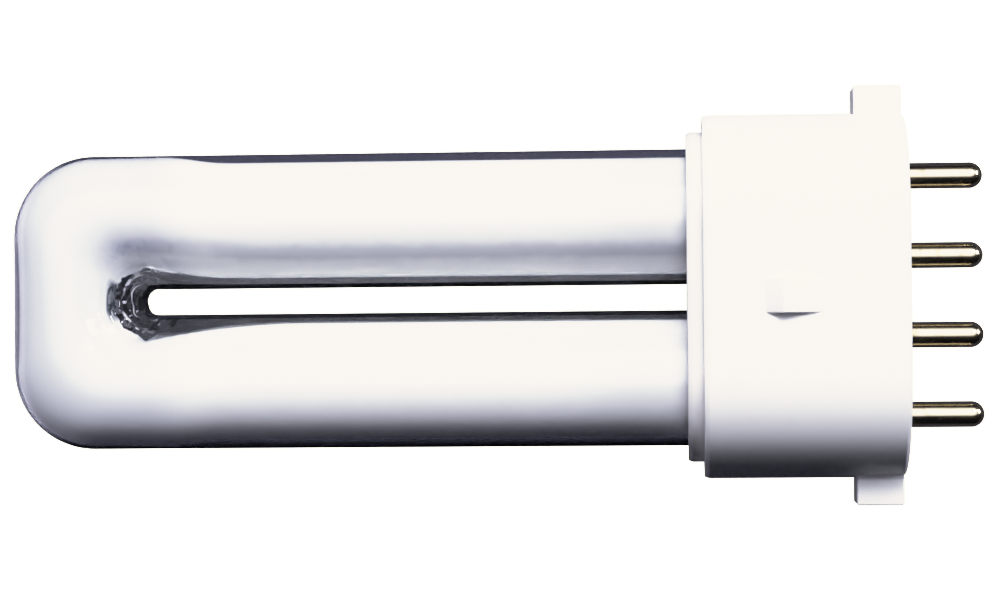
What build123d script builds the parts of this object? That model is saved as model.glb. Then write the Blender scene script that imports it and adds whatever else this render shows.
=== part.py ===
from build123d import *
import os
from math import atan2, cos, pi, sin, sqrt

# A compact fluorescent lamp: one U-bent glass tube on a flat base with four plug-in pins in a row.
# Millimetres. +X runs along the lamp towards its pins, +Y across its two legs, +Z out of a flat side.
# The origin is the centre of the pin face, which seats in the lampholder.

# Glass tube
TUBE_DIAMETER = 12.0
LAMP_LENGTH = 79.2  # from the pin face to the outside of the bend
BEND_CORNER_RADIUS = 7.2  # outer corners of the bend, seen from a flat side
BEND_STATIONS = 5  # profiles along each stretch of the bend
NECK_LENGTH = 2.5  # where a round leg flattens into its pinch seal
PINCH_WIDTH = 11.0
PINCH_THICKNESS = 3.2
PINCH_LENGTH = 3.5
EXHAUST_DIAMETER = 2.4
EXHAUST_LENGTH = 2.2
EXHAUST_TIP_DIAMETER = 0.9  # where the flame closed it
LEG_STUB = 0.6  # round leg that shows behind the holder, inside the base

# Moulded base
HOUSING_WALL = 1.4
FACE_WALL = 2.0  # behind the pin face
LEDGE_WIDTH = 0.8  # seat of the holder inside the housing
FACE_CHAMFER = 0.3
EASE_LENGTH = 0.4  # eased front edges of both mouldings, along the lamp
EASE_DEPTH = 0.15  # and square to their sides
LUG_SETBACK = 0.25  # from the pin face
LUG_LENGTH = 4.1
LUG_REACH = 2.3  # beyond the rounded end of the housing
LUG_THICKNESS = 5.0
LUG_ROUND = 0.15
LATCH_SETBACK = 7.5  # from the pin face to the gentle foot of a latch wedge
LATCH_GENTLE = 3.35
LATCH_STEEP = 1.55
LATCH_WIDTH = 3.0
LATCH_HEIGHT = 0.9
LATCH_ROUND = 0.25
BOSS_DIAMETER = 4.0  # inside, round each pin
BOSS_HEIGHT = 1.2

# Tube holder and cement
HOLDER_PROUD = 1.4  # rim that stands out of the housing
HOLDER_INSERT = 4.6  # depth inside the housing
HOLDER_CLEARANCE = 0.05
HOLDER_END_WALL = 0.85  # beside a socket, at the rounded ends
HOLDER_CHEEK = 1.45  # above and below a socket
LIP_THICKNESS = 1.4  # narrow front of each socket
LIP_CLEARANCE = 0.15
CEMENT_GAP = 0.6
SOCKET_WEB = 1.05  # left between the two sockets

# Contact pins and leads
PIN_COUNT = 4
PIN_PITCH = 7.0
PIN_DIAMETER = 2.3
PIN_LENGTH = 7.0
PIN_NECK_DIAMETER = 1.8  # where the pin passes through the base
PIN_BORE = 1.1
PIN_TIP_WALL = 1.0  # solid end beyond the bore
RIVET_DIAMETER = 2.7
RIVET_THICKNESS = 0.4
PIN_SEAT_DEPTH = 0.15
PIN_SEAT_CLEARANCE = 0.05
LEAD_DIAMETER = 0.4
LEAD_ROOM = 2.8  # between the pinch seals and the rivets

# Sizes that follow from the ones above
tube_radius = TUBE_DIAMETER / 2
socket_radius = tube_radius + CEMENT_GAP
leg_y = socket_radius + SOCKET_WEB / 2
slot_half_width = leg_y - tube_radius
bend_half_width = leg_y + tube_radius
bend_x = bend_half_width - LAMP_LENGTH

base_inset = HOUSING_WALL + HOLDER_CLEARANCE
housing_width = 2 * (leg_y + socket_radius + HOLDER_END_WALL + base_inset)
housing_thickness = 2 * (socket_radius + HOLDER_CHEEK + base_inset)

rivet_x = -(FACE_WALL + BOSS_HEIGHT + RIVET_THICKNESS)
pinch_x = rivet_x - LEAD_ROOM
neck_end_x = pinch_x - PINCH_LENGTH
leg_end_x = neck_end_x - NECK_LENGTH
ledge_x = leg_end_x - LEG_STUB
mouth_x = ledge_x - HOLDER_INSERT
holder_x = mouth_x - HOLDER_PROUD
cement_x = holder_x + LIP_THICKNESS

pin_radius = PIN_DIAMETER / 2
pin_rows = [((PIN_COUNT - 1) / 2 - row) * PIN_PITCH for row in range(PIN_COUNT)]
bore_end_x = PIN_LENGTH - PIN_TIP_WALL


def across(x, y=0.0):
    """A plane square to the lamp's axis, with Y and Z as its own axes."""
    return Plane(origin=(x, y, 0), x_dir=(0, 1, 0), z_dir=(1, 0, 0))


def base_outline(x, inset=0.0):
    """The round-ended outline of the base at one station, drawn in by an inset."""
    return across(x) * SlotOverall(housing_width - 2 * inset, housing_thickness - 2 * inset)


def rod(diameter, start_x, end_x, y):
    """A round bar along the lamp."""
    return extrude(across(start_x, y) * Circle(diameter / 2), end_x - start_x)


def bend_reach(angle):
    """Distance from the bend's centre to its outline, a square with rounded corners."""
    near = min(abs(sin(angle)), abs(cos(angle)))
    far = max(abs(sin(angle)), abs(cos(angle)))
    corner = bend_half_width - BEND_CORNER_RADIUS
    if near * bend_half_width <= far * corner:
        return bend_half_width / far
    along = corner * (near + far)
    return along + sqrt(along**2 - 2 * corner**2 + BEND_CORNER_RADIUS**2)


def bend_profile(angle):
    """The tube's section at one angle round the bend: its inside keeps to the slot's round end."""
    outward = Vector(-sin(angle), cos(angle), 0)
    reach = bend_reach(angle)
    middle = Vector(bend_x, 0, 0) + outward * ((reach + slot_half_width) / 2)
    plane = Plane(origin=middle, x_dir=outward, z_dir=outward.cross(Vector(0, 0, 1)))
    return plane * Ellipse((reach - slot_half_width) / 2, tube_radius)


def half_bend():
    """Half of the squared bend, lofted from a leg along the side, round the corner and to the middle."""
    corner_start = atan2(bend_half_width - BEND_CORNER_RADIUS, bend_half_width)
    breaks = (0, corner_start, pi / 2 - corner_start, pi / 2)
    stretches = []
    for start, end in zip(breaks, breaks[1:]):
        step = (end - start) / (BEND_STATIONS - 1)
        stretches.append(loft([bend_profile(start + station * step) for station in range(BEND_STATIONS)]))
    return stretches[0] + stretches[1:]


def pinch_seal(y):
    """The end of a leg, pressed flat round its two leads."""
    wide_end = across(leg_end_x, y) * Ellipse(tube_radius, tube_radius)
    flat_end = across(neck_end_x, y) * Ellipse(PINCH_WIDTH / 2, PINCH_THICKNESS / 2)
    slab = extrude(across(neck_end_x, y) * SlotOverall(PINCH_WIDTH, PINCH_THICKNESS), PINCH_LENGTH)
    return loft([wide_end, flat_end]) + slab


def exhaust_stub(y):
    """The stub of the exhaust tube, tapered where it was sealed off."""
    radius = EXHAUST_DIAMETER / 2
    tip_x = pinch_x + EXHAUST_LENGTH
    outline = make_face(
        Polyline((neck_end_x, 0), (neck_end_x, radius), (tip_x - radius, radius),
                 (tip_x, EXHAUST_TIP_DIAMETER / 2), (tip_x, 0), close=True)
    )
    return Pos(0, y, 0) * revolve(outline, Axis.X)


def discharge_tube():
    """The sealed glass tube: two legs, the squared bend blown in a mould, and the pinch seals."""
    tube = half_bend() + mirror(half_bend(), Plane.XZ)
    for y in (leg_y, -leg_y):
        tube += rod(TUBE_DIAMETER, bend_x, leg_end_x, y)
        tube += pinch_seal(y)
    return tube + exhaust_stub(leg_y)


def ease_front(moulding):
    """Ease the edge of a moulding's front, which faces the tube."""
    front = moulding.faces().sort_by(Axis.X)[0]
    return chamfer(front.edges(), EASE_DEPTH, EASE_LENGTH, reference=front)


def lug():
    """The end lug on the +Y side, just behind the pin face."""
    root_y = housing_width / 2 - HOUSING_WALL
    outer_y = housing_width / 2 + LUG_REACH
    middle_x = -LUG_SETBACK - LUG_LENGTH / 2
    block = Pos(middle_x, (root_y + outer_y) / 2, 0) * Box(LUG_LENGTH, outer_y - root_y, LUG_THICKNESS)
    return fillet(block.faces().sort_by(Axis.Y)[-1].edges(), LUG_ROUND)


def latch_wedge():
    """The latch wedge on the +Z side: gentle towards the pins, steep towards the tube."""
    face_z = housing_thickness / 2
    root_z = face_z - HOUSING_WALL / 2
    gentle_x = -LATCH_SETBACK
    crest_x = gentle_x - LATCH_GENTLE
    steep_x = crest_x - LATCH_STEEP
    crest_z = face_z + LATCH_HEIGHT
    profile = make_face(
        Polyline((gentle_x, root_z), (gentle_x, face_z), (crest_x, crest_z), (steep_x, face_z),
                 (steep_x, root_z), close=True)
    )
    wedge = extrude(Plane.XZ * profile, LATCH_WIDTH / 2, both=True)
    return fillet(wedge.edges().group_by(Axis.Z)[-1], LATCH_ROUND)


def base_housing():
    """The moulded cap: an open box with a holder seat inside, pin bosses, lugs and latch wedges."""
    shell = extrude(base_outline(mouth_x), -mouth_x)
    shell = chamfer(shell.edges().group_by(Axis.X)[-1], FACE_CHAMFER)
    shell = ease_front(shell)
    shell += [lug(), mirror(lug(), Plane.XZ), latch_wedge(), mirror(latch_wedge(), Plane.XY)]
    shell -= extrude(base_outline(mouth_x, HOUSING_WALL), HOLDER_INSERT)
    shell -= extrude(base_outline(ledge_x, HOUSING_WALL + LEDGE_WIDTH), -FACE_WALL - ledge_x)
    for y in pin_rows:
        shell += rod(BOSS_DIAMETER, -FACE_WALL - BOSS_HEIGHT, -FACE_WALL / 2, y)
    for y in pin_rows:
        shell -= rod(PIN_NECK_DIAMETER, -FACE_WALL - BOSS_HEIGHT, 0, y)
        shell -= rod(PIN_DIAMETER + 2 * PIN_SEAT_CLEARANCE, -PIN_SEAT_DEPTH, 0, y)
    return shell


def tube_holder():
    """The moulded plug in the housing's mouth, with a lipped socket for each leg."""
    plug = ease_front(extrude(base_outline(holder_x, base_inset), ledge_x - holder_x))
    for y in (leg_y, -leg_y):
        plug -= rod(TUBE_DIAMETER + 2 * LIP_CLEARANCE, holder_x, cement_x, y)
        plug -= rod(2 * socket_radius, cement_x, ledge_x, y)
    return plug


def cement_ring(y):
    """The cement between a leg and its socket."""
    return rod(2 * socket_radius, cement_x, ledge_x, y) - rod(TUBE_DIAMETER, cement_x, ledge_x, y)


def contact_pin(y):
    """A hollow pin with a domed tip, seated on the pin face and riveted over inside the base."""
    neck_radius = PIN_NECK_DIAMETER / 2
    rivet_top_x = rivet_x + RIVET_THICKNESS
    shoulder = (PIN_LENGTH - pin_radius, pin_radius)
    tip = (PIN_LENGTH, 0)
    side = Polyline(
        tip, (bore_end_x, 0), (bore_end_x, PIN_BORE / 2), (rivet_x, PIN_BORE / 2),
        (rivet_x, RIVET_DIAMETER / 2), (rivet_top_x, RIVET_DIAMETER / 2), (rivet_top_x, neck_radius),
        (-PIN_SEAT_DEPTH, neck_radius), (-PIN_SEAT_DEPTH, pin_radius), shoulder
    )
    outline = make_face(side + RadiusArc(shoulder, tip, pin_radius))
    return Pos(0, y, 0) * revolve(outline, Axis.X)


def lead_wire(y):
    """A lead from its pinch seal straight to the end of the pin's bore."""
    return rod(LEAD_DIAMETER, pinch_x, bore_end_x, y)


pieces = {"discharge_tube": discharge_tube(), "base_housing": base_housing(), "tube_holder": tube_holder()}
for number, y in enumerate((leg_y, -leg_y), start=1):
    pieces[f"cement_ring_{number}"] = cement_ring(y)
for number, y in enumerate(pin_rows, start=1):
    pieces[f"contact_pin_{number}"] = contact_pin(y)
    pieces[f"lead_wire_{number}"] = lead_wire(y)

os.makedirs("parts", exist_ok=True)
for name, piece in pieces.items():
    export_step(piece, f"parts/{name}.step")
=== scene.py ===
"""The looks of a compact fluorescent lamp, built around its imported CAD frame.

The glass tube with its phosphor coat, the moulded base, the tube holder and the brass pins are
modelled here at their real size. The leads and the cement inside the base keep their CAD shape
and get a finish. Sizes in the classes are in millimetres, and meshes are written in metres.
"""
import logging
import math
from dataclasses import dataclass
from enum import Enum
from typing import Any

import bmesh
import bpy
from bpy.types import AreaLight, Material, Node, NodeSocket, NodeTree, Object
from mathutils import Euler, Matrix, Vector, noise


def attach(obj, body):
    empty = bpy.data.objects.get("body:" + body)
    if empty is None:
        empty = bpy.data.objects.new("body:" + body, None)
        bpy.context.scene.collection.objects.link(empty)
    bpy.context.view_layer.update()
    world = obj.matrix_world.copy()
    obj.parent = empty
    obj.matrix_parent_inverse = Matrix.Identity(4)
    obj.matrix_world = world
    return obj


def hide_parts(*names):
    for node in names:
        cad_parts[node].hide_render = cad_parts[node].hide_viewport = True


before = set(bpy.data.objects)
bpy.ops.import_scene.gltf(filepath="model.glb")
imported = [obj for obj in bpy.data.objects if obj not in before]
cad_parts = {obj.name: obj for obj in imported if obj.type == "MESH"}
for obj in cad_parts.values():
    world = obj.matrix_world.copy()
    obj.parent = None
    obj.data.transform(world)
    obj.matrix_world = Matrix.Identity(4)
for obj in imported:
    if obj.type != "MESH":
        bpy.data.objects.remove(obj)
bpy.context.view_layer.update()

MM = 0.001
BODY = "root"
WHITE = "ffffff"

SHARP_ANGLE = math.radians(32)
WELD = 0.002  # points closer than this become one after a cut
OVERSHOOT = 1.0  # how far a cutting tool stands out of what it cuts
CORNER_STEPS = 5  # short runs in a rounded corner of a profile
BEVEL_STEPS = 4  # strips in a rounded edge of a block
BEVEL_ROUND = 0.5  # a bevel that is an arc, between hollow and full
ROD_POINTS = 96
OVAL = 2.0  # squareness of a plain oval; a larger one has flatter sides

# sizes that two sub-assemblies share
TUBE_DIAMETER = 12.0
LEG_SPACING = 14.25
PIN_ROWS = (10.5, 3.5, -3.5, -10.5)  # across the lamp
PIN_NECK = 1.8
PIN_SEAT_DEPTH = 0.15

# settings and sockets that many nodes share
SMOOTH = {"interpolation_type": "SMOOTHSTEP"}
COLOURS = {"data_type": "RGBA"}
COLOUR_A, COLOUR_B, COLOUR_OUT = 6, 7, 2

Pair = tuple[float, float]
Triple = tuple[float, float, float]
Oval = tuple[float, float, float, float]  # place and half size, along and across the lamp
Profile = list[Pair]
Ring = list[Vector]
Face = tuple[int, ...]

log = logging.getLogger("lamp")


class Slot(Enum):
    """Material slots of the record, one for each kind of piece."""

    GLASS = "coated_glass"
    PLASTIC = "white_plastic"
    BRASS = "pin_brass"


class Cut(Enum):
    """Ways of combining two solids."""

    JOIN = "UNION"
    TAKE_AWAY = "DIFFERENCE"


def linear(hex_colour: str) -> tuple[float, float, float, float]:
    """Turn an sRGB hex colour into linear RGBA.

    Args:
        hex_colour: Six hex digits, such as "f4efe6".

    Returns:
        Linear red, green and blue, and an alpha of one.
    """
    channels = [int(hex_colour[i:i + 2], 16) / 255 for i in (0, 2, 4)]
    red, green, blue = (
        c / 12.92 if c <= 0.04045 else ((c + 0.055) / 1.055) ** 2.4 for c in channels
    )
    return red, green, blue, 1.0


def ramp(low: float, high: float, value: float) -> float:
    """Rise evenly from 0 at `low` to 1 at `high`."""
    return min(max((value - low) / (high - low), 0.0), 1.0)


def smooth_step(low: float, high: float, value: float) -> float:
    """Rise smoothly from 0 at `low` to 1 at `high`."""
    share = ramp(low, high, value)
    return share * share * (3 - 2 * share)


def smooth_curve(knots: tuple[Pair, ...], value: float) -> float:
    """Follow a smooth curve through knots.

    Args:
        knots: Places and heights, in order of place.
        value: Place to look up, held within the knots.

    Returns:
        Height of the curve there.
    """
    value = min(max(value, knots[0][0]), knots[-1][0])
    index = max(k for k in range(len(knots) - 1) if knots[k][0] <= value)
    slopes = []
    for k in (index, index + 1):
        before, after = knots[max(k - 1, 0)], knots[min(k + 1, len(knots) - 1)]
        slopes.append((after[1] - before[1]) / (after[0] - before[0]))
    (start, low), (end, high) = knots[index], knots[index + 1]
    span = end - start
    t = (value - start) / span
    bend = (2 * t**3 - 3 * t**2 + 1) * low + (3 * t**2 - 2 * t**3) * high
    return bend + span * ((t**3 - 2 * t**2 + t) * slopes[0] + (t**3 - t**2) * slopes[1])


def add_node(
    tree: NodeTree,
    kind: str,
    settings: dict[str | int, Any] | None = None,
    links: dict[str | int, Node | NodeSocket] | None = None,
) -> Node:
    """Add one shader node with its settings and links.

    Args:
        tree: Node tree that takes the node.
        kind: Blender's type name of the node, without the ShaderNode that starts it.
        settings: Values by input socket, or by property where no input has that name.
        links: Output sockets to join, by input socket. A node stands for its first output.

    Returns:
        The new node.
    """
    node = tree.nodes.new("ShaderNode" + kind)
    for key, value in (settings or {}).items():
        if isinstance(key, int) or key in node.inputs:
            node.inputs[key].default_value = value
        else:
            setattr(node, key, value)
    for key, source in (links or {}).items():
        socket = source.outputs[0] if isinstance(source, Node) else source
        tree.links.new(socket, node.inputs[key])
    return node


def new_material(name: str) -> tuple[Material, NodeTree]:
    """Make an empty node material.

    Args:
        name: Name of the finish.

    Returns:
        The material and its node tree.
    """
    material = bpy.data.materials.new(name)
    material.use_nodes = True
    material.node_tree.nodes.clear()
    return material, material.node_tree


@dataclass(frozen=True)
class DrawnGlass:
    """Soda-lime lamp glass, drawn as tube and bent hot: clear, smooth and very slightly wavy."""

    colour: str = "fbfdfc"
    ior: float = 1.51
    haze: float = 0.005  # bloom on handled glass, which greys it where lamps shine on it
    wave_mm: float = 7.0
    wave_height_mm: float = 0.004

    def build(self) -> Material:
        """Make the material.

        Returns:
            The material. Lamp light and diffuse bounces pass straight through it to the coat.
        """
        material, tree = new_material("drawn_soda_lime_glass")
        place = add_node(tree, "TexCoord").outputs["Object"]
        # drawn tube keeps long ripples, which the rims of the glass show as soft unevenness
        ripple = add_node(tree, "TexNoise", {"Scale": 1 / (self.wave_mm * MM), "Detail": 1.0},
                          {"Vector": place})
        bump = add_node(tree, "Bump", {"Distance": self.wave_height_mm * MM}, {"Height": ripple})
        glass = add_node(tree, "BsdfPrincipled",
                         {"Base Color": linear(self.colour), "Roughness": 0.0, "IOR": self.ior,
                          "Transmission Weight": 1 - self.haze}, {"Normal": bump})
        clear = add_node(tree, "BsdfTransparent")
        path = add_node(tree, "LightPath")
        unbent = add_node(tree, "Math", {"operation": "MAXIMUM"},
                          {0: path.outputs["Is Shadow Ray"], 1: path.outputs["Is Diffuse Ray"]})
        mixed = add_node(tree, "MixShader", None, {0: unbent, 1: glass, 2: clear})
        add_node(tree, "OutputMaterial", None, {"Surface": mixed})
        return material


@dataclass(frozen=True)
class PhosphorCoat:
    """Halophosphate powder, flowed on wet and baked: chalk white, matte, greyed by painted shade
    along the lamp.
    """

    thick: str = "f6f5f2"
    grey_for_marks_and_shade: str = "8f919e"
    bare_glass_shade: str = "1d2328"
    roughness: float = 0.95
    gloss: float = 0.1
    patch_mm: float = 1.3
    grain_mm: float = 0.35  # real grains are microns wide; drawn as coarse as it takes to show
    grain_height_mm: float = 0.01
    grain_strength: float = 0.25
    dark_bare_spots: tuple[Oval, ...] = (  # no powder here: painted dark, as painted shade for the dark inside seen through the glass
        (-66.95, 2.95, 0.5, 0.5), (-65.3, 2.45, 0.35, 0.35), (-69.95, 0.1, 0.52, 2.0),
    )
    spot_edge: Pair = (1.15, 0.65)  # where a spot starts and is full, in shares of its half size
    smudge: Oval = (-66.9, 4.1, 4.3, 2.0)  # tide marks at the bend
    smudge_edge: Pair = (1.1, 0.6)
    smudge_patches: Pair = (0.45, 0.62)  # heights of the patches where grey starts and is full
    smudge_share: float = 0.2
    shaded_stretches: tuple[Triple, ...] = (  # painted shade along the lamp: start, full shade and its share
        (-61.5, -67.0, 0.36), (-32.0, -19.0, 0.17),
    )
    shade_line: Pair = (4.29, 4.3)  # painted shade in a line along the side of one leg: across and up
    shade_line_reach: Pair = (1.2, 0.2)  # distances from the line where it starts and is full
    shade_line_share: float = 0.35
    shade_line_lift: Triple = (-56.0, -62.5, 0.8)  # it climbs near the bend: start, end and height
    shade_line_end: Pair = (-68.5, -70.8)  # where it fades out
    shade_line_wander: float = 0.5

    def build(self) -> Material:
        """Make the material.

        Returns:
            The material, greyed along the lamp by painted shade and tide marks, and painted dark
            where powder is missing.
        """
        material, tree = new_material("baked_phosphor_powder")
        place = add_node(tree, "TexCoord").outputs["Object"]
        patches = add_node(tree, "TexNoise",
                           {"Scale": 1 / (self.patch_mm * MM), "Detail": 5.0, "Roughness": 0.62,
                            "Distortion": 0.6}, {"Vector": place})
        flat = add_node(tree, "VectorMath", {"operation": "MULTIPLY", 1: (1.0, 1.0, 0.0)},
                        {0: place})
        along = add_node(tree, "SeparateXYZ", None, {0: place})
        # a wet slurry dries in tide marks at the bend, seen as faint grey smudges only there
        near = self._inside(tree, flat, self.smudge, self.smudge_edge)
        low, high = self.smudge_patches
        marks = add_node(tree, "MapRange",
                         SMOOTH | {"From Min": low, "From Max": high, "To Max": self.smudge_share},
                         {"Value": patches})
        share = add_node(tree, "Math", {"operation": "MULTIPLY"}, {0: near, 1: marks})
        layers = []
        # painted shade: the coat is greyed round the bend and towards the holder, where less light
        # falls
        for start, full, shade_share in self.shaded_stretches:
            layers.append(add_node(
                tree, "MapRange",
                SMOOTH | {"From Min": start * MM, "From Max": full * MM, "To Max": shade_share},
                {"Value": along.outputs["X"]}))
        # painted shade along the side of one leg
        layers.append(self._shade_line(tree, along, patches))
        for layer in layers:
            share = add_node(tree, "Math", {"operation": "ADD", "use_clamp": True},
                             {0: share, 1: layer})
        colour = add_node(
            tree, "Mix",
            COLOURS | {COLOUR_A: linear(self.thick), COLOUR_B: linear(self.grey_for_marks_and_shade)}, {0: share})
        # a few places have no powder where the glass was hottest; they are painted dark, as painted
        # shade for the dark inside seen through the glass
        for spot in self.dark_bare_spots:
            shaded_spot = self._inside(tree, flat, spot, self.spot_edge)
            colour = add_node(tree, "Mix", COLOURS | {COLOUR_B: linear(self.bare_glass_shade)},
                              {0: shaded_spot, COLOUR_A: colour.outputs[COLOUR_OUT]})
        grain = add_node(tree, "TexNoise", {"Scale": 1 / (self.grain_mm * MM), "Detail": 2.0},
                         {"Vector": place})
        bump = add_node(
            tree, "Bump",
            {"Strength": self.grain_strength, "Distance": self.grain_height_mm * MM},
            {"Height": grain})
        powder = add_node(tree, "BsdfPrincipled",
                          {"Roughness": self.roughness, "Specular IOR Level": self.gloss},
                          {"Base Color": colour.outputs[COLOUR_OUT], "Normal": bump})
        add_node(tree, "OutputMaterial", None, {"Surface": powder})
        return material

    def _shade_line(self, tree: NodeTree, along: Node, patches: Node) -> Node:
        """Add painted shade: a faint grey line along the side of a leg.

        Args:
            tree: Node tree that takes the nodes.
            along: Node that gives the place as X, Y and Z.
            patches: Noise that lets the line wander a little.

        Returns:
            Node that gives the share of grey.
        """
        start, end, height = self.shade_line_lift
        climb = add_node(
            tree, "MapRange",
            SMOOTH | {"From Min": start * MM, "From Max": end * MM, "To Max": height * MM},
            {"Value": along.outputs["X"]})
        lower = add_node(tree, "Math", {"operation": "SUBTRACT"},
                         {0: along.outputs["Y"], 1: climb})
        level = add_node(tree, "CombineXYZ", None, {"Y": lower, "Z": along.outputs["Z"]})
        across, up = self.shade_line
        beside = add_node(tree, "VectorMath",
                          {"operation": "DISTANCE", 1: (0.0, across * MM, up * MM)}, {0: level})
        stray = self.shade_line_wander * MM
        wander = add_node(tree, "MapRange", {"To Min": -stray, "To Max": stray},
                          {"Value": patches})
        wandering = add_node(tree, "Math", {"operation": "ADD"},
                             {0: beside.outputs["Value"], 1: wander})
        outer, inner = self.shade_line_reach
        shaded_band = add_node(
            tree, "MapRange",
            SMOOTH | {"From Min": outer * MM, "From Max": inner * MM, "To Max": self.shade_line_share},
            {"Value": wandering})
        fade, gone = self.shade_line_end
        fading = add_node(tree, "MapRange",
                          SMOOTH | {"From Min": gone * MM, "From Max": fade * MM},
                          {"Value": along.outputs["X"]})
        return add_node(tree, "Math", {"operation": "MULTIPLY"}, {0: shaded_band, 1: fading})

    @staticmethod
    def _inside(tree: NodeTree, flat: Node, spot: Oval, edge: Pair) -> Node:
        """Add what tells the inside of an oval spot from its outside.

        Args:
            tree: Node tree that takes the nodes.
            flat: Node that gives the place, along and across the lamp.
            spot: The oval.
            edge: Shares of its half size where its edge starts and ends.

        Returns:
            Node that gives 1 inside the edge and 0 outside it.
        """
        x, y, half_length, half_width = spot
        offset = add_node(tree, "VectorMath",
                          {"operation": "SUBTRACT", 1: (x * MM, y * MM, 0.0)}, {0: flat})
        shares = add_node(tree, "VectorMath",
                          {"operation": "DIVIDE", 1: (half_length * MM, half_width * MM, 1.0)},
                          {0: offset})
        away = add_node(tree, "VectorMath", {"operation": "LENGTH"}, {0: shares})
        return add_node(tree, "MapRange", SMOOTH | {"From Min": edge[0], "From Max": edge[1]},
                        {"Value": away.outputs["Value"]})


@dataclass(frozen=True)
class MouldedPlastic:
    """PBT, injection moulded in a polished tool: near white, low in gloss, faintly uneven."""

    name: str
    colour: str
    shade: str
    ior: float = 1.54
    gloss: float = 0.2  # a fine skin of glass filler keeps it well under a clear plastic's gloss
    roughness: Pair = (0.25, 0.37)
    flow_mm: float = 9.0
    texture_mm: float = 0.55  # the tool's polish is finer; drawn as coarse as it takes to show
    texture_height_mm: float = 0.004
    texture_strength: float = 0.1

    def build(self) -> Material:
        """Make the material.

        Returns:
            The material, with its colour uneven as it flowed and its gloss broken by texture.
        """
        material, tree = new_material(self.name)
        place = add_node(tree, "TexCoord").outputs["Object"]
        flow, texture = (
            add_node(tree, "TexNoise", {"Scale": 1 / (size * MM), "Detail": 3.0},
                     {"Vector": place})
            for size in (self.flow_mm, self.texture_mm)
        )
        colour = add_node(
            tree, "Mix",
            COLOURS | {COLOUR_A: linear(self.colour), COLOUR_B: linear(self.shade)}, {0: flow})
        gloss = add_node(tree, "MapRange",
                         {"To Min": self.roughness[0], "To Max": self.roughness[1]},
                         {"Value": texture})
        bump = add_node(
            tree, "Bump",
            {"Strength": self.texture_strength, "Distance": self.texture_height_mm * MM},
            {"Height": texture})
        plastic = add_node(
            tree, "BsdfPrincipled", {"IOR": self.ior, "Specular IOR Level": self.gloss},
            {"Base Color": colour.outputs[COLOUR_OUT], "Roughness": gloss, "Normal": bump})
        add_node(tree, "OutputMaterial", None, {"Surface": plastic})
        return material


HOUSING_PLASTIC = MouldedPlastic("moulded_pbt_white", "f8f7f3", "f3f1ec")
# greyer than the housing: painted shade for the housing's shadow on the holder
HOLDER_SHADED_PLASTIC = MouldedPlastic("moulded_pbt_painted_shade", "e9e7e3", "e2e0db")


@dataclass(frozen=True)
class PolishedBrass:
    """Cartridge brass, drawn and tumble polished: bright gold, finely lined, a little tarnished."""

    colour: str = "e6d8b0"
    tarnish: str = "9a8052"
    roughness: Pair = (0.15, 0.24)
    line_mm: float = 0.16  # real draw lines are finer; drawn as coarse as it takes to show
    line_length_mm: float = 4.0
    line_height_mm: float = 0.006
    line_strength: float = 0.35
    tarnish_mm: float = 1.3
    tarnish_patches: Pair = (0.5, 0.8)  # heights of the patches where it starts and is full
    tarnish_share: float = 0.6

    def build(self) -> Material:
        """Make the material.

        Returns:
            The material, with lines along the pin and patches of tarnish.
        """
        material, tree = new_material("polished_drawn_brass")
        place = add_node(tree, "TexCoord").outputs["Object"]
        sizes = (self.line_length_mm, self.line_mm, self.line_mm)
        along = add_node(tree, "Mapping", {"Scale": [1 / (size * MM) for size in sizes]},
                         {"Vector": place})
        lines = add_node(tree, "TexNoise", {"Scale": 1.0, "Detail": 2.0}, {"Vector": along})
        patches = add_node(tree, "TexNoise", {"Scale": 1 / (self.tarnish_mm * MM), "Detail": 4.0},
                           {"Vector": place})
        low, high = self.tarnish_patches
        stain = add_node(
            tree, "MapRange",
            SMOOTH | {"From Min": low, "From Max": high, "To Max": self.tarnish_share},
            {"Value": patches})
        colour = add_node(
            tree, "Mix",
            COLOURS | {COLOUR_A: linear(self.colour), COLOUR_B: linear(self.tarnish)}, {0: stain})
        gloss = add_node(tree, "MapRange",
                         {"To Min": self.roughness[0], "To Max": self.roughness[1]},
                         {"Value": lines})
        bump = add_node(
            tree, "Bump", {"Strength": self.line_strength, "Distance": self.line_height_mm * MM},
            {"Height": lines})
        brass = add_node(
            tree, "BsdfPrincipled", {"Metallic": 1.0},
            {"Base Color": colour.outputs[COLOUR_OUT], "Roughness": gloss, "Normal": bump})
        add_node(tree, "OutputMaterial", None, {"Surface": brass})
        return material


@dataclass(frozen=True)
class PlainFitting:
    """A finish for what the base hides: nickel-plated lead wire, or dried lamp cement."""

    name: str
    colour: str
    shade: str
    metallic: float
    roughness: float
    grain_mm: float  # coarser than the real grain, so that it shows
    grain_height_mm: float = 0.02
    grain_strength: float = 0.3

    def build(self) -> Material:
        """Make the material.

        Returns:
            The material, whose grain mottles the colour and breaks up the gloss.
        """
        material, tree = new_material(self.name)
        place = add_node(tree, "TexCoord").outputs["Object"]
        grain = add_node(tree, "TexNoise", {"Scale": 1 / (self.grain_mm * MM), "Detail": 3.0},
                         {"Vector": place})
        colour = add_node(
            tree, "Mix",
            COLOURS | {COLOUR_A: linear(self.colour), COLOUR_B: linear(self.shade)}, {0: grain})
        bump = add_node(
            tree, "Bump",
            {"Strength": self.grain_strength, "Distance": self.grain_height_mm * MM},
            {"Height": grain})
        surface = add_node(tree, "BsdfPrincipled",
                           {"Metallic": self.metallic, "Roughness": self.roughness},
                           {"Base Color": colour.outputs[COLOUR_OUT], "Normal": bump})
        add_node(tree, "OutputMaterial", None, {"Surface": surface})
        return material


NICKEL_WIRE = PlainFitting("nickel_plated_wire", "b9b6ad", "8f8b82", 1.0, 0.3, 0.2)
LAMP_CEMENT = PlainFitting("dried_lamp_cement", "cfc8b8", "b4ab98", 0.0, 0.9, 0.4)


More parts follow.
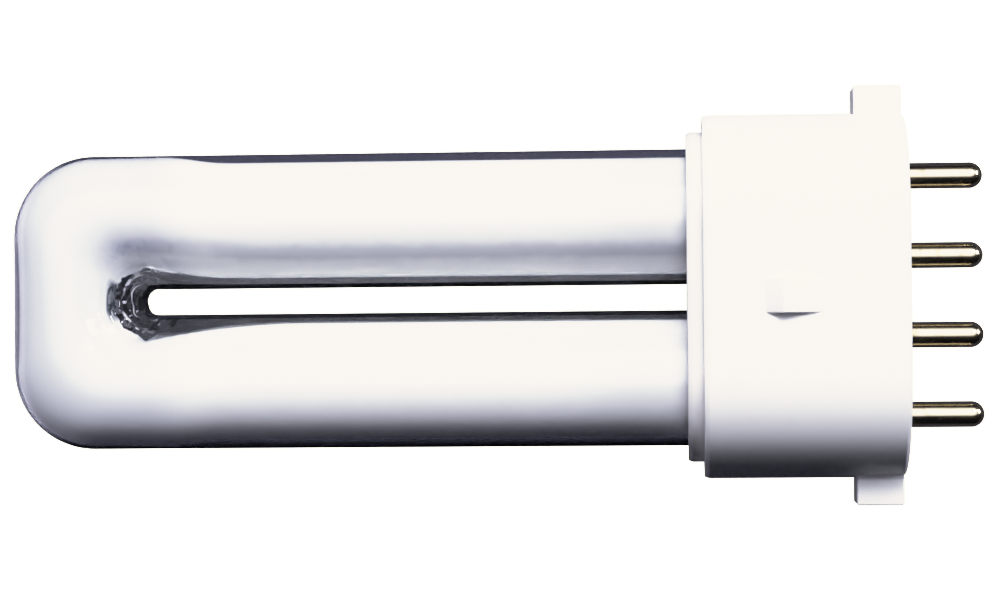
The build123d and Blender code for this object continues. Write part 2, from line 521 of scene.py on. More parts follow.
class Skin:
    """Collects rings of points into one closed mesh."""

    def __init__(self) -> None:
        """Start with no points."""
        self.points: list[Vector] = []
        self.faces: list[Face] = []

    def add(self, rings: list[Ring], hollow: bool = False) -> "Skin":
        """Skin a row of rings, close both of its ends and face it out of the solid.

        Args:
            rings: Rings with the same number of points, in order.
            hollow: Whether the skin bounds an empty space inside a wall.

        Returns:
            This skin.
        """
        count = len(rings[0])
        base = len(self.points)
        self.points += [point for ring in rings for point in ring]
        faces: list[Face] = []
        for row in range(len(rings) - 1):
            for k in range(count):
                a = base + row * count + k
                b = base + row * count + (k + 1) % count
                faces.append((a, b, b + count, a + count))
        last = base + (len(rings) - 1) * count
        faces.append(tuple(range(base + count - 1, base - 1, -1)))
        faces.append(tuple(range(last, last + count)))
        if (self._volume(faces) < 0) != hollow:
            faces = [face[::-1] for face in faces]
        self.faces += faces
        return self

    def _volume(self, faces: list[Face]) -> float:
        """Measure what closed faces bound.

        Args:
            faces: Faces of the skin.

        Returns:
            Their signed volume, over 0 where they face outwards.
        """
        total = 0.0
        for face in faces:
            first = self.points[face[0]]
            for second, third in zip(face[1:], face[2:]):
                total += first.dot(self.points[second].cross(self.points[third]))
        return total / 6

    def to_object(self, name: str) -> Object:
        """Write the collected mesh, in metres.

        Args:
            name: Name of the new object.

        Returns:
            The new object, linked to the scene.
        """
        mesh = bpy.data.meshes.new(name)
        mesh.from_pydata([point * MM for point in self.points], [], self.faces)
        piece = bpy.data.objects.new(name, mesh)
        bpy.context.scene.collection.objects.link(piece)
        smooth_by_angle(piece)
        return piece


def smooth_by_angle(piece: Object) -> None:
    """Smooth a mesh's faces and mark its sharp edges by angle.

    Args:
        piece: Object that has the mesh.
    """
    piece.data.update()
    piece.data.shade_smooth()
    piece.data.set_sharp_from_angle(angle=SHARP_ANGLE)


def combine(piece: Object, tools: list[Object], cut: Cut) -> None:
    """Join tool solids to a piece or take them away from it, and delete the tools.

    Args:
        piece: Solid that is changed.
        tools: Solids to combine with it.
        cut: Join or take away.
    """
    for tool in tools:
        change = piece.modifiers.new("combine", "BOOLEAN")
        change.object = tool
        change.operation = cut.value
        change.solver = "EXACT"
        graph = bpy.context.evaluated_depsgraph_get()
        result = bpy.data.meshes.new_from_object(piece.evaluated_get(graph))
        piece.modifiers.clear()
        piece.data = result
        bpy.data.objects.remove(tool)
    # cuts leave slivers, which are welded away, and faces of many corners, which are split
    shape = bmesh.new()
    shape.from_mesh(piece.data)
    bmesh.ops.remove_doubles(shape, verts=shape.verts, dist=WELD * MM)
    bmesh.ops.dissolve_degenerate(shape, edges=shape.edges, dist=WELD * MM)
    bmesh.ops.triangulate(shape, faces=[face for face in shape.faces if len(face.verts) > 4])
    shape.to_mesh(piece.data)
    shape.free()
    smooth_by_angle(piece)


def lathe(profile: Profile, y: float, count: int) -> list[Ring]:
    """Turn a profile round a line along the lamp.

    Args:
        profile: Stations along the lamp with their radii.
        y: Where the line lies across the lamp.
        count: Points in each ring.

    Returns:
        One ring for each station.
    """
    turns = [2 * math.pi * k / count for k in range(count)]
    return [[Vector((x, y + r * math.cos(a), r * math.sin(a))) for a in turns] for x, r in profile]


def rod(
    name: str, diameter: float, start_x: float, end_x: float, y: float, count: int = ROD_POINTS
) -> Object:
    """Make a round bar along the lamp, as a tool for combine().

    Args:
        name: Name of the tool.
        diameter: Its width.
        start_x: Station of its first end.
        end_x: Station of its other end.
        y: Where it lies across the lamp.
        count: Points in each ring.

    Returns:
        The bar.
    """
    ends = [(start_x, diameter / 2), (end_x, diameter / 2)]
    return Skin().add(lathe(ends, y, count)).to_object(name)


def rounded_corner(before: Pair, corner: Pair, after: Pair, radius: float) -> Profile:
    """Round one corner of a profile.

    Args:
        before: Point that the profile comes from.
        corner: Its sharp corner.
        after: Point that it goes to.
        radius: Distance from the corner at which the rounding starts and ends.

    Returns:
        Points of the rounded corner, on a quadratic curve.
    """
    middle = Vector(corner)
    start = middle + (Vector(before) - middle).normalized() * radius
    end = middle + (Vector(after) - middle).normalized() * radius
    points = []
    for step in range(CORNER_STEPS + 1):
        t = step / CORNER_STEPS
        point = start * (1 - t) ** 2 + middle * (2 * t * (1 - t)) + end * t**2
        points.append((point.x, point.y))
    return points


def rounded_profile(corners: list[Triple]) -> Profile:
    """Round the corners of a profile.

    Args:
        corners: Points of the profile, each with its rounding, or 0 to keep it sharp.

    Returns:
        The profile with its corners rounded.
    """
    profile: Profile = []
    for index, (x, offset, radius) in enumerate(corners):
        if radius and 0 < index < len(corners) - 1:
            before, after = corners[index - 1][:2], corners[index + 1][:2]
            profile += rounded_corner(before, (x, offset), after, radius)
        else:
            profile.append((x, offset))
    return profile


def seat(piece: Object, slot: Slot, material: Material, *nodes: str) -> None:
    """Give a piece its finish, hang it on the lamp and hide the CAD nodes that it stands for.

    Args:
        piece: Piece to seat.
        slot: Material slot of the record; not used.
        material: Its finish.
        *nodes: CAD nodes that it stands for.
    """
    piece.data.materials.clear()
    piece.data.materials.append(material)
    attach(piece, BODY)
    for node in nodes:
        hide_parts(node)
    log.info("%s: %d faces, %s", piece.name, len(piece.data.polygons), material.name)


@dataclass(frozen=True)
class Section:
    """A section of the tube: an oval in the plane of `outward` and Z, with an uneven wall."""

    centre: Vector
    outward: Vector
    half_width: float
    half_height: float
    outer_wall: float
    inner_wall: float
    side_wall: float
    squareness: float = OVAL

    def ring(self, count: int) -> Ring:
        """Points round the outside of the glass, from the outer side of the bend over the top."""
        return self._oval(self.centre, self.half_width, self.half_height, count)

    def cavity(self, count: int, gap: float) -> Ring:
        """Points round the inside of the glass, drawn in by a gap.

        Args:
            count: Number of points.
            gap: Distance kept from the glass.

        Returns:
            The ring of points.
        """
        centre = self.centre + self.outward * ((self.inner_wall - self.outer_wall) / 2)
        half_width = self.half_width - (self.inner_wall + self.outer_wall) / 2 - gap
        return self._oval(centre, half_width, self.half_height - self.side_wall - gap, count)

    def _oval(self, centre: Vector, half_width: float, half_height: float, count: int) -> Ring:
        """Points of an oval, squared off where squareness is over 2.

        Args:
            centre: Its middle.
            half_width: Half its size along `outward`.
            half_height: Half its size along Z.
            count: Number of points.

        Returns:
            The ring of points.
        """
        power = 2 / self.squareness
        ring = []
        for k in range(count):
            angle = 2 * math.pi * k / count
            across = math.copysign(abs(math.cos(angle)) ** power, math.cos(angle)) * half_width
            up = math.copysign(abs(math.sin(angle)) ** power, math.sin(angle)) * half_height
            ring.append(centre + self.outward * across + Vector((0, 0, up)))
        return ring


@dataclass(frozen=True)
class Fold:
    """A crease in the outside of the glass round the inner side of the bend."""

    distance: float  # from the slot's round end
    depth: float
    width: float
    start: float  # angle round the bend, in degrees
    end: float
    fade: float = 0.25  # share of its length over which each end runs out

    def sink(self, distance: float, turn: float) -> float:
        """How far the crease sinks the glass.

        Args:
            distance: From the slot's round end.
            turn: Angle round the bend, in degrees.

        Returns:
            Depth of the crease there.
        """
        fade = self.fade * (self.end - self.start)
        begun = smooth_step(self.start, self.start + fade, turn)
        along = begun * (1 - smooth_step(self.end - fade, self.end, turn))
        return self.depth * along * math.exp(-((distance - self.distance) / self.width) ** 2)


@dataclass
class GlassTube:
    """The U-bent discharge tube: clear glass, its phosphor coat, pinch seals and exhaust stub."""

    diameter: float = TUBE_DIAMETER
    leg_spacing: float = LEG_SPACING
    length: float = 79.2
    corner_radius: float = 7.2
    leg_end_x: float = -12.4
    neck_end_x: float = -9.9
    pinch_x: float = -6.4
    pinch_width: float = 11.0
    pinch_thickness: float = 3.2
    pinch_squareness: float = 4.0
    exhaust_diameter: float = 2.4
    exhaust_tip_diameter: float = 0.9
    exhaust_length: float = 2.2
    exhaust_rounds: Pair = (0.4, 0.2)
    exhaust_flat: float = 0.1  # radius of the flat that closes the tip

    wall: float = 0.68
    inner_walls: Pair = (0.96, 0.78)  # sides of the legs that face each other, +Y leg first
    bend_side_share: float = 0.6  # of the wall is left above and below, at the end of the bend
    blown_wall: float = 0.25  # outside of the bend, stretched thin in the mould
    blown_start_x: float = -60.0
    wedge_ends_x: Pair = (-60.0, -53.0)  # where the thick glass of the fold runs out, +Y leg first
    folded_walls: tuple[Pair, ...] = (  # inside of the bend by angle, where the glass piles up
        (0, 1.45), (30, 1.75), (60, 2.0), (90, 2.15), (120, 2.15), (150, 1.95), (180, 1.58),
    )
    folds: tuple[Fold, ...] = (
        Fold(0.7, 0.2, 0.22, 30, 150),
        Fold(1.35, 0.13, 0.2, 18, 165),
        Fold(2.05, 0.2, 0.2, 25, 160),
        Fold(2.75, 0.1, 0.25, 66, 114),
    )
    fold_reach: float = 5.0  # beyond this distance from the slot the glass is smooth
    fold_wander: tuple[Pair, ...] = ((0.22, 0.7), (0.1, 2.1))  # strays, and how many in a mm
    crumple: float = 0.1  # small dents between the folds
    crumple_rate: float = 1.5  # dents in a millimetre
    crumple_turns: tuple[Pair, Pair] = ((5, 30), (150, 175))  # angles where they begin and end
    crumple_fade: Pair = (1.7, 2.6)  # distances from the slot where they fade out
    cavity_end_x: float = -13.4
    coat_end_x: float = -18.2  # the powder is wiped off just inside the holder
    coat_gap: float = 0.03  # powder touches only in points, so the glass keeps an air face

    ring_points: int = 192
    cavity_points: int = 128
    stub_points: int = 48
    leg_stations: int = 36
    bend_stations: int = 160
    neck_stations: int = 8

    def __post_init__(self) -> None:
        """Work out the sizes that follow from the others."""
        self.radius = self.diameter / 2
        self.leg_y = self.leg_spacing / 2
        self.slot_half = self.leg_y - self.radius
        self.half_width = self.leg_y + self.radius
        self.bend_x = self.half_width - self.length

    def reach(self, angle: float) -> float:
        """Measure the bend's outline, a square with rounded corners.

        Args:
            angle: Angle round the bend.

        Returns:
            Distance from the bend's centre to the outline.
        """
        near, far = sorted((abs(math.sin(angle)), abs(math.cos(angle))))
        corner = self.half_width - self.corner_radius
        if near * self.half_width <= far * corner:
            return self.half_width / far
        along = corner * (near + far)
        return along + math.sqrt(along**2 - 2 * corner**2 + self.corner_radius**2)

    def leg_walls(self, x: float, side: int) -> Pair:
        """Thickness of the glass on the outer and inner side of a leg.

        Args:
            x: Station along the lamp.
            side: 1 for the +Y leg, -1 for the other one.

        Returns:
            Outer and inner wall.
        """
        blown = smooth_step(self.blown_start_x, self.bend_x, x)
        outer = self.wall + (self.blown_wall - self.wall) * blown
        leg = 0 if side > 0 else 1
        wedge = ramp(self.wedge_ends_x[leg], self.bend_x, x) ** 2
        plain, thick = self.inner_walls[leg], self.folded_wall(leg * math.pi)
        return outer, plain + (thick - plain) * wedge

    def folded_wall(self, angle: float) -> float:
        """Thickness of the glass on the inner side of the bend, at an angle round it."""
        return smooth_curve(self.folded_walls, math.degrees(angle))

    def leg_section(self, x: float, side: int) -> Section:
        """One section of a leg, at a station along the lamp."""
        outer, inner = self.leg_walls(x, side)
        return Section(Vector((x, side * self.leg_y, 0)), Vector((0, side, 0)), self.radius,
                       self.radius, outer, inner, self.wall)

    def bend_section(self, angle: float) -> Section:
        """One section of the bend.

        Args:
            angle: Angle round the bend, from 0 at the +Y leg to pi at the other one.

        Returns:
            The section.
        """
        outward = Vector((-math.sin(angle), math.cos(angle), 0))
        reach = self.reach(angle)
        side = 1 if angle < math.pi / 2 else -1
        outer, _ = self.leg_walls(self.bend_x, side)
        inner = self.folded_wall(angle)
        centre = Vector((self.bend_x, 0, 0)) + outward * ((reach + self.slot_half) / 2)
        drawn = self.bend_side_share * self.wall
        side_wall = self.wall + (drawn - self.wall) * math.sin(angle)
        half_width = (reach - self.slot_half) / 2
        return Section(centre, outward, half_width, self.radius, outer, inner, side_wall)

    def pinch_sections(self, side: int) -> list[Section]:
        """Sections from the cut end of a pinch seal back to the round leg.

        Args:
            side: 1 for the +Y leg, -1 for the other one.

        Returns:
            The sections in order.
        """
        flat = (self.pinch_width / 2, self.pinch_thickness / 2, self.pinch_squareness)
        round_leg = (self.radius, self.radius, OVAL)
        shapes = [(self.pinch_x, *flat), (self.neck_end_x, *flat)]
        for step in range(1, self.neck_stations + 1):
            share = smooth_step(0, 1, step / self.neck_stations)
            run = self.leg_end_x - self.neck_end_x
            x = self.neck_end_x + run * step / self.neck_stations
            shapes.append((x, *(a + (b - a) * share for a, b in zip(flat, round_leg))))
        y, outward = side * self.leg_y, Vector((0, side, 0))
        return [Section(Vector((x, y, 0)), outward, width, height, 0, 0, 0, squareness)
                for x, width, height, squareness in shapes]

    def hollow_sections(self, start_x: float) -> list[Section]:
        """Sections of the hollow tube, down the +Y leg, round the bend and back.

        Args:
            start_x: Station where both legs start.

        Returns:
            The sections in order.
        """
        run = self.bend_x - start_x
        stations = [start_x + run * k / self.leg_stations for k in range(self.leg_stations)]
        turns = [math.pi * k / self.bend_stations for k in range(self.bend_stations + 1)]
        sections = [self.leg_section(x, 1) for x in stations]
        sections += [self.bend_section(angle) for angle in turns]
        return sections + [self.leg_section(x, -1) for x in reversed(stations)]

    def crease(self, point: Vector, middle: Vector) -> Vector:
        """Sink a point into the folds of the glass, which was pushed together inside the bend.

        Args:
            point: Point on the smooth outside of the glass.
            middle: Middle of its section.

        Returns:
            The point, moved towards the middle.
        """
        across = Vector((point.x - self.bend_x, point.y))
        distance = across.length - self.slot_half
        if distance > self.fold_reach or point.x > self.bend_x:
            return point
        turn = math.degrees(math.atan2(-across.x, across.y))
        wander = sum(stray * noise.noise(point * rate) for stray, rate in self.fold_wander)
        sink = sum(fold.sink(distance + wander, turn) for fold in self.folds)
        begin, end = self.crumple_turns
        crumpled = smooth_step(*begin, turn) * (1 - smooth_step(*end, turn))
        crumpled *= 1 - smooth_step(*self.crumple_fade, distance)
        sink += crumpled * self.crumple * (1 + noise.noise(point * self.crumple_rate))
        return point + (middle - point).normalized() * sink

    def stub_profile(self) -> Profile:
        """Stations and radii of the exhaust stub, from the pinch seal to its melted tip.

        Returns:
            The profile.
        """
        tip_x = self.pinch_x + self.exhaust_length
        radius, tip_radius = self.exhaust_diameter / 2, self.exhaust_tip_diameter / 2
        shoulder, tip = self.exhaust_rounds
        return rounded_profile([
            (self.pinch_x, radius, 0), (tip_x - radius, radius, shoulder),
            (tip_x, tip_radius, tip), (tip_x, self.exhaust_flat, 0),
        ])

    def build(self) -> None:
        """Build the glass, its coat and the exhaust stub, and dress them."""
        outside = [[self.crease(point, section.centre) for point in section.ring(self.ring_points)]
                   for section in self.hollow_sections(self.leg_end_x)]
        first, last = ([section.ring(self.ring_points) for section in self.pinch_sections(side)]
                       for side in (1, -1))
        inside = [section.cavity(self.cavity_points, 0)
                  for section in self.hollow_sections(self.cavity_end_x)]
        skin = Skin().add(first[:-1] + outside + last[-2::-1]).add(inside, hollow=True)
        finish = DrawnGlass().build()
        seat(skin.to_object("glass_tube"), Slot.GLASS, finish, "discharge_tube")

        powder = [section.cavity(self.cavity_points, self.coat_gap)
                  for section in self.hollow_sections(self.coat_end_x)]
        coat = Skin().add(powder).to_object("phosphor_coat")
        seat(coat, Slot.GLASS, PhosphorCoat().build())

        stub = Skin().add(lathe(self.stub_profile(), self.leg_y, self.stub_points))
        seat(stub.to_object("exhaust_stub"), Slot.GLASS, finish)


@dataclass
class BaseMoulding:
    """What both mouldings of the base share: a round-ended outline, drawn in by an inset."""

    width: float = 32.05
    thickness: float = 19.0
    ease_length: float = 0.4  # eased front edge, along the lamp
    ease_depth: float = 0.15  # and square to the side
    ease_round: float = 0.08
    floor_inset: float = 5.0  # where one flat face closes the middle
    arc_points: int = 56
    flat_points: int = 12

    def ring(self, x: float, inset: float) -> Ring:
        """Points of the outline at a station, drawn in by an inset.

        Args:
            x: Station along the lamp.
            inset: Distance from the outline of the housing.

        Returns:
            The ring of points.
        """
        half_flat = (self.width - self.thickness) / 2
        radius = self.thickness / 2 - inset
        ring = []
        for side in (1, -1):
            for k in range(self.arc_points):
                angle = math.pi * (k / self.arc_points - 0.5) + (0 if side > 0 else math.pi)
                y = side * half_flat + radius * math.cos(angle)
                ring.append(Vector((x, y, radius * math.sin(angle))))
            for k in range(self.flat_points):
                y = side * half_flat * (1 - 2 * k / self.flat_points)
                ring.append(Vector((x, y, side * radius)))
        return ring

    def moulding(self, name: str, corners: list[Triple]) -> Object:
        """A solid with this outline at each station and inset of a rounded profile."""
        rings = [self.ring(x, inset) for x, inset in rounded_profile(corners)]
        return Skin().add(rings).to_object(name)


@dataclass
class BaseHousing(BaseMoulding):
    """The moulded cap with its lugs, latch wedges, pin bosses and the seat for the holder."""

    mouth_x: float = -17.6
    ledge_x: float = -13.0
    wall: float = 1.4
    ledge_width: float = 0.8
    face_wall: float = 2.0
    face_inset: float = 4.0  # where one flat face closes the pin face
    face_chamfer: float = 0.3
    edge_round: float = 0.1
    lug_setback: float = 0.25
    lug_length: float = 4.1
    lug_reach: float = 2.3
    lug_thickness: float = 5.0
    lug_round: float = 0.15
    latch_setback: float = 7.5
    latch_gentle: float = 3.35
    latch_steep: float = 1.55
    latch_width: float = 3.0
    latch_height: float = 0.9
    latch_round: float = 0.125
    boss_diameter: float = 4.0
    boss_height: float = 1.2
    pin_seat: float = 2.4

    def shell(self) -> Object:
        """Make the open box without its lugs, wedges and holes.

        Returns:
            The box.
        """
        deep = self.wall + self.ledge_width
        return self.moulding("base_shell", [
            (0, self.face_inset, 0),
            (0, self.face_chamfer, self.edge_round),
            (-self.face_chamfer, 0, self.edge_round),
            (self.mouth_x + self.ease_length, 0, self.ease_round),
            (self.mouth_x, self.ease_depth, self.ease_round),
            (self.mouth_x, self.wall, self.edge_round),
            (self.ledge_x, self.wall, 0),
            (self.ledge_x, deep, 0),
            (-self.face_wall, deep, 0),
            (-self.face_wall, self.floor_inset, 0),
        ])

    def block(self, name: str, corners: list[Vector], edge_round: float) -> Object:
        """A solid with rounded edges between two outlines.

        Args:
            name: Name of the solid.
            corners: First outline, then the second one, point for point.
            edge_round: Rounding of its edges.

        Returns:
            The solid.
        """
        half = len(corners) // 2
        piece = Skin().add([corners[:half], corners[half:]]).to_object(name)
        shape = bmesh.new()
        shape.from_mesh(piece.data)
        bmesh.ops.recalc_face_normals(shape, faces=shape.faces)
        bmesh.ops.bevel(shape, geom=shape.edges[:], offset=edge_round * MM, segments=BEVEL_STEPS,
                        profile=BEVEL_ROUND, affect="EDGES")
        shape.to_mesh(piece.data)
        shape.free()
        return piece

    def lug(self, side: int) -> Object:
        """Make an end lug, just behind the pin face.

        Args:
            side: 1 for the +Y end, -1 for the other one.

        Returns:
            The lug.
        """
        inner = self.width / 2 - self.wall
        outer = self.width / 2 + self.lug_reach
        half = self.lug_thickness / 2
        front, back = -self.lug_setback, -self.lug_setback - self.lug_length
        outline = [(back, inner), (front, inner), (front, outer), (back, outer)]
        corners = [Vector((x, side * y, z)) for z in (-half, half) for x, y in outline]
        return self.block(f"lug_{side}", corners, self.lug_round)

    def latch(self, side: int) -> Object:
        """Make a latch wedge, gentle towards the pins and steep towards the tube.

        Args:
            side: 1 for the top, -1 for the flat side below.

        Returns:
            The wedge.
        """
        face = self.thickness / 2
        root = face - self.wall / 2
        crest_x = -self.latch_setback - self.latch_gentle
        steep_x = crest_x - self.latch_steep
        outline = [(-self.latch_setback, root), (-self.latch_setback, face),
                   (crest_x, face + self.latch_height), (steep_x, face), (steep_x, root)]
        half = self.latch_width / 2
        corners = [Vector((x, y, side * z)) for y in (-half, half) for x, z in outline]
        return self.block(f"latch_{side}", corners, self.latch_round)

    def build(self, finish: Material) -> None:
        """Build the housing and dress it.

        Args:
            finish: The plastic's material.
        """
        housing = self.shell()
        floor_x, boss = -self.face_wall, self.boss_height
        adds = [self.lug(1), self.lug(-1), self.latch(1), self.latch(-1)]
        adds += [rod(f"boss_{k}", self.boss_diameter, floor_x - boss, floor_x / 2, y)
                 for k, y in enumerate(PIN_ROWS)]
        combine(housing, adds, Cut.JOIN)
        holes = [rod(f"hole_{k}", PIN_NECK, floor_x - 2 * boss, OVERSHOOT, y)
                 for k, y in enumerate(PIN_ROWS)]
        holes += [rod(f"seat_{k}", self.pin_seat, -PIN_SEAT_DEPTH, OVERSHOOT, y)
                  for k, y in enumerate(PIN_ROWS)]
        combine(housing, holes, Cut.TAKE_AWAY)
        seat(housing, Slot.PLASTIC, finish, "base_housing")


@dataclass
class TubeHolder(BaseMoulding):
    """The moulded plug in the mouth of the housing, with a lipped socket for each leg."""

    front_x: float = -19.0
    cement_x: float = -17.6
    back_x: float = -13.0
    inset: float = 1.45
    lip_diameter: float = 12.3
    socket_diameter: float = 13.2
    socket_points: int = 128

    def build(self, finish: Material) -> None:
        """Build the holder and dress it.

        Args:
            finish: The plastic's material.
        """
        holder = self.moulding("holder_plug", [
            (self.back_x, self.floor_inset, 0),
            (self.back_x, self.inset, 0),
            (self.front_x + self.ease_length, self.inset, self.ease_round),
            (self.front_x, self.inset + self.ease_depth, self.ease_round),
            (self.front_x, self.floor_inset, 0),
        ])
        tools = []
        for side in (1, -1):
            for name, diameter, start_x in (
                ("lip", self.lip_diameter, self.front_x - OVERSHOOT),
                ("socket", self.socket_diameter, self.cement_x),
            ):
                tools.append(rod(f"{name}_{side}", diameter, start_x, self.back_x + OVERSHOOT,
                                 side * LEG_SPACING / 2, self.socket_points))
        combine(holder, tools, Cut.TAKE_AWAY)
        seat(holder, Slot.PLASTIC, finish, "tube_holder")


@dataclass
class ContactPins:
    """The four hollow brass pins with domed tips, riveted over inside the base."""

    length: float = 7.0
    diameter: float = 2.3
    bore: float = 1.1
    bore_flat: float = 0.02  # radius of the flat that closes the bore
    tip_wall: float = 1.0
    tip_flat: float = 0.01
    rivet_diameter: float = 2.7
    rivet_thickness: float = 0.4
    rivet_x: float = -3.6
    rivet_rounds: Triple = (0.1, 0.12, 0.1)
    dome_steps: int = 20
    ring_points: int = 96

    def profile(self) -> Profile:
        """Draw a pin from the bottom of its bore, round the rivet and along it to its tip.

        Returns:
            Stations and radii.
        """
        radius, neck, hole = self.diameter / 2, PIN_NECK / 2, self.bore / 2
        rivet, rivet_top = self.rivet_diameter / 2, self.rivet_x + self.rivet_thickness
        mouth, rim, shoulder = self.rivet_rounds
        bore_end = self.length - self.tip_wall
        points = rounded_profile([
            (bore_end, self.bore_flat, 0), (bore_end, hole, 0), (self.rivet_x, hole, mouth),
            (self.rivet_x, rivet, rim), (rivet_top, rivet, shoulder), (rivet_top, neck, 0),
            (-PIN_SEAT_DEPTH, neck, 0), (-PIN_SEAT_DEPTH, radius, 0),
        ])
        centre_x = self.length - radius
        for step in range(self.dome_steps):
            angle = math.pi / 2 * step / self.dome_steps
            points.append((centre_x + radius * math.sin(angle), radius * math.cos(angle)))
        return points + [(self.length, self.tip_flat)]

    def build(self) -> None:
        """Build the pins and dress them."""
        finish = PolishedBrass().build()
        for number, y in enumerate(PIN_ROWS, start=1):
            pin = Skin().add(lathe(self.profile(), y, self.ring_points))
            seat(pin.to_object(f"brass_pin_{number}"), Slot.BRASS, finish, f"contact_pin_{number}")


@dataclass
class HiddenFittings:
    """The leads and the cement inside the base, which keep their CAD shape."""

    leads: tuple[str, ...] = ("lead_wire_1", "lead_wire_2", "lead_wire_3", "lead_wire_4")
    rings: tuple[str, ...] = ("cement_ring_1", "cement_ring_2")

    def dress(self) -> None:
        """Give each CAD node its finish."""
        for names, finish in ((self.leads, NICKEL_WIRE), (self.rings, LAMP_CEMENT)):
            material = finish.build()
            for name in names:
                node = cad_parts[name]
                node.data.materials.clear()
                node.data.materials.append(material)
                log.info("%s: CAD shape, %s", name, material.name)


@dataclass(frozen=True)
class SoftBox:
    """A soft studio lamp, aimed at the middle of the object."""

    name: str
    direction: Triple
    distance: float
    width: float
    height: float
    watts: float
    colour: str = "e6e7fd"
    lights_matte: bool = True  # off for a card that only shows in gloss
    shows_in_gloss: bool = True
    fades: bool = False  # on for a card that is bright in its middle and fades to its edge
    fade: Pair = (0.5, 0.2)  # shares of its size from its middle where it is dark and fully bright

    def place(self, aim: Vector) -> None:
        """Add the lamp to the scene.

        Args:
            aim: Point that it looks at, in millimetres.
        """
        lamp = bpy.data.lights.new(self.name, "AREA")
        lamp.shape = "RECTANGLE"
        lamp.size, lamp.size_y = self.width * MM, self.height * MM
        lamp.energy = self.watts
        lamp.color = linear(self.colour)[:3]
        if self.fades:
            self._dim_edge(lamp)
        box = bpy.data.objects.new(self.name, lamp)
        towards = Vector(self.direction).normalized()
        box.location = (aim + towards * self.distance) * MM
        box.rotation_euler = towards.to_track_quat("Z", "Y").to_euler()
        box.visible_diffuse = self.lights_matte
        box.visible_glossy = box.visible_transmission = self.shows_in_gloss
        bpy.context.scene.collection.objects.link(box)

    def _dim_edge(self, lamp: AreaLight) -> None:
        """Dim a lamp from its middle to its edge, so that its reflections have no hard border.

        Args:
            lamp: Lamp to dim.
        """
        lamp.use_nodes = True
        tree = lamp.node_tree
        tree.nodes.clear()
        place = add_node(tree, "NewGeometry")
        middle = (0.5, 0.5, 0.0)  # of the lamp's face, where its sides are 1 long
        away = add_node(tree, "VectorMath", {"operation": "DISTANCE", 1: middle},
                        {0: place.outputs["Parametric"]})
        strength = add_node(tree, "MapRange",
                            SMOOTH | {"From Min": self.fade[0], "From Max": self.fade[1]},
                            {"Value": away.outputs["Value"]})
        light = add_node(tree, "Emission", None, {"Strength": strength})
        add_node(tree, "OutputLight", None, {"Surface": light})


@dataclass(frozen=True)
class SlideFilm:
    """How the picture takes light: straight in the shadows, with a soft, warm shoulder to white."""

    red: tuple[Pair, ...] = (
        (0.3, 0.3), (0.6, 0.6), (0.76, 0.76), (0.9, 0.865), (1.1, 0.925), (1.5, 0.955), (2.6, 0.97),
    )
    green: tuple[Pair, ...] = (
        (0.3, 0.3), (0.6, 0.6), (0.76, 0.755), (0.9, 0.85), (1.1, 0.9), (1.5, 0.93), (2.6, 0.945),
    )
    blue: tuple[Pair, ...] = (
        (0.25, 0.25), (0.42, 0.42), (0.55, 0.54), (0.78, 0.705), (1.0, 0.815), (1.2, 0.86),
        (1.8, 0.885), (3.0, 0.9),
    )
    white: float = 4.0

    def load(self) -> None:
        """Set the scene's view to this film."""
        view = bpy.context.scene.view_settings
        view.view_transform = "Standard"
        view.use_curve_mapping = True
        mapping = view.curve_mapping
        mapping.use_clip = False
        for curve, points in zip(mapping.curves, (self.red, self.green, self.blue)):
            curve.points[1].location = (self.white, 1.0)
            for point in points:
                curve.points.new(*point)
            for point in curve.points:
                point.handle_type = "AUTO_CLAMPED"
        mapping.update()


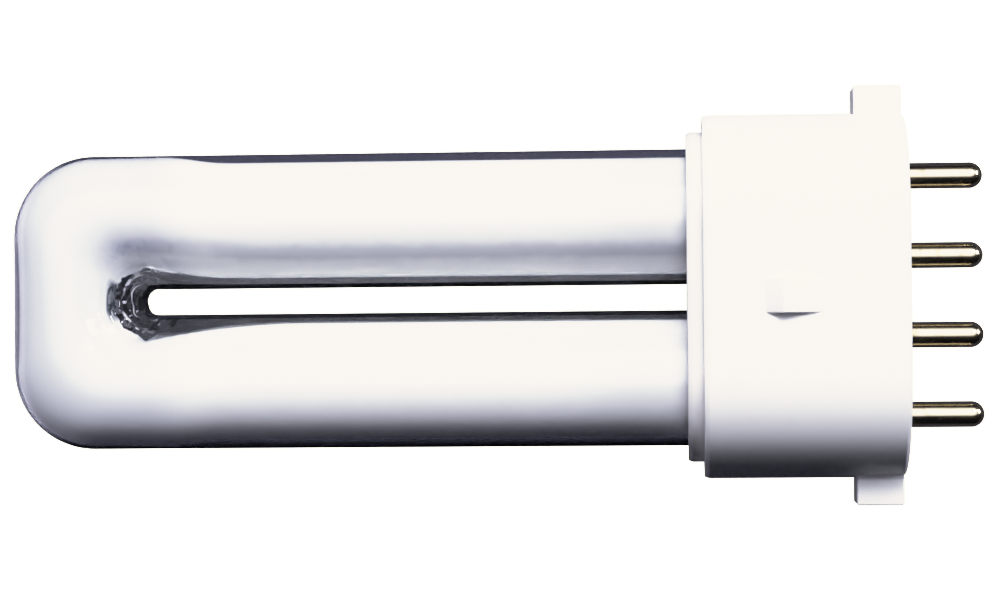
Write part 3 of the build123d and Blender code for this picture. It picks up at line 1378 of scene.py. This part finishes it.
@dataclass
class Studio:
    """A pale floor under the resting lamp, soft light, and a camera that looks straight down."""

    camera_turn: Triple = (-0.01044, -0.06526, 0.00957)
    camera_shift: Pair = (35.50174, 0.38278)
    camera_distance: float = 240.0
    camera_near: float = 10.0
    lens: float = 98.1
    sensor: float = 36.0

    latch_crest: Pair = (-10.85, -10.38)  # lowest point of the base, along the lamp and up
    bend_middle_x: float = -73.2
    floor_size: float = 6000.0
    floor_shade: str = "33333b"
    lit_pool_shade: str = "c8c6cf"  # a painted pool of light on the floor, past the bend, that lights its end
    lit_pool_place: Triple = (-92.0, 0.0, -5.0)
    lit_pool_reach: Pair = (13.0, 23.0)

    aim: Triple = (-36.0, 0.0, 0.0)
    boxes: tuple[SoftBox, ...] = (
        SoftBox("key_softbox", (0.1, 0.68, 0.727), 400.0, 250.0, 110.0, 3.05, shows_in_gloss=False),
        SoftBox("top_softbox", (0.1, 0.48, 0.872), 400.0, 60.0, 30.0, 0.55, shows_in_gloss=False),
        SoftBox("right_kicker", (0.9, 0.28, 0.33), 400.0, 120.0, 120.0, 0.8),
        SoftBox("right_sparkle", (0.55, 0.45, 0.7), 400.0, 90.0, 90.0, 0.7, lights_matte=False),
        SoftBox("left_card", (-0.989, -0.092, 0.115), 130.0, 60.0, 60.0, 0.055,
                shows_in_gloss=False),
        SoftBox("overhead_card", (0.0, 0.36, 0.93), 500.0, 1500.0, 850.0, 10.7,
                lights_matte=False, fades=True),
    )
    ambient: str = "b9bfe0"
    ambient_strength: float = 0.006

    def floor_tilt(self) -> float:
        """Work out how the lamp rests, on a latch wedge and on the bend.

        Returns:
            Slope of the floor against the lamp.
        """
        run = self.latch_crest[0] - self.bend_middle_x
        drop = -self.latch_crest[1]
        return math.atan2(drop, run) - math.asin(TUBE_DIAMETER / 2 / math.hypot(run, drop))

    def add_floor(self) -> None:
        """Add the floor: pale to the eye, and dark to reflections as a studio's far side is, but
        for a painted pool of light past the bend.
        """
        half = self.floor_size / 2
        corners = ((-half, -half), (half, -half), (half, half), (-half, half))
        mesh = bpy.data.meshes.new("studio_floor")
        mesh.from_pydata([Vector((x, y, 0)) * MM for x, y in corners], [], [(0, 1, 2, 3)])
        floor = bpy.data.objects.new("studio_floor", mesh)
        crest = Vector((self.latch_crest[0], 0, self.latch_crest[1])) * MM
        floor.matrix_world = Matrix.Translation(crest) @ Matrix.Rotation(self.floor_tilt(), 4, "Y")
        bpy.context.scene.collection.objects.link(floor)
        material, tree = new_material("pale_studio_floor")
        path = add_node(tree, "LightPath")
        pale = add_node(tree, "Emission", {"Color": linear(WHITE), "Strength": SlideFilm().white})
        place = add_node(tree, "NewGeometry")
        away = add_node(
            tree, "VectorMath",
            {"operation": "DISTANCE", 1: [length * MM for length in self.lit_pool_place]},
            {0: place.outputs["Position"]})
        inner, outer = self.lit_pool_reach
        # painted pool of light: the floor is paler near the bend, to reflections and bounced light
        card = add_node(tree, "MapRange",
                        SMOOTH | {"From Min": inner * MM, "From Max": outer * MM},
                        {"Value": away.outputs["Value"]})
        shade = add_node(
            tree, "Mix",
            COLOURS | {COLOUR_A: linear(self.lit_pool_shade), COLOUR_B: linear(self.floor_shade)},
            {0: card})
        dim = add_node(tree, "BsdfDiffuse", None, {"Color": shade.outputs[COLOUR_OUT]})
        mixed = add_node(tree, "MixShader", None,
                         {0: path.outputs["Is Camera Ray"], 1: dim, 2: pale})
        add_node(tree, "OutputMaterial", None, {"Surface": mixed})
        mesh.materials.append(material)

    def add_world(self) -> None:
        """Add the room: pale where the camera sees it, and dim bluish grey as a fill."""
        world = bpy.data.worlds.new("studio_room")
        world.use_nodes = True
        tree = world.node_tree
        tree.nodes.clear()
        path = add_node(tree, "LightPath")
        room, pale = (
            add_node(tree, "Background", {"Color": linear(colour), "Strength": strength})
            for colour, strength in (
                (self.ambient, self.ambient_strength), (WHITE, SlideFilm().white),
            )
        )
        mixed = add_node(tree, "MixShader", None,
                         {0: path.outputs["Is Camera Ray"], 1: room, 2: pale})
        add_node(tree, "OutputWorld", None, {"Surface": mixed})
        bpy.context.scene.world = world

    def add_camera(self) -> None:
        """Add the camera at the photograph's viewing angle."""
        back = Euler(self.camera_turn, "XYZ").to_matrix().transposed()
        lens = bpy.data.cameras.new("camera")
        lens.lens, lens.sensor_width = self.lens, self.sensor
        lens.clip_start = self.camera_near * MM
        camera = bpy.data.objects.new("camera", lens)
        across, up = self.camera_shift
        place = back @ Vector((-across, -up, self.camera_distance))
        camera.matrix_world = Matrix.Translation(place * MM) @ back.to_4x4()
        bpy.context.scene.collection.objects.link(camera)
        bpy.context.scene.camera = camera

    def build(self) -> None:
        """Set up the whole studio."""
        self.add_floor()
        self.add_world()
        self.add_camera()
        for box in self.boxes:
            box.place(Vector(self.aim))
        SlideFilm().load()


def main() -> None:
    """Build the lamp and its studio, piece by piece."""
    logging.basicConfig(level=logging.INFO, format="%(name)s: %(message)s")
    GlassTube().build()
    BaseHousing().build(HOUSING_PLASTIC.build())
    TubeHolder().build(HOLDER_SHADED_PLASTIC.build())
    ContactPins().build()
    HiddenFittings().dress()
    Studio().build()


if __name__ == "__main__":
    main()
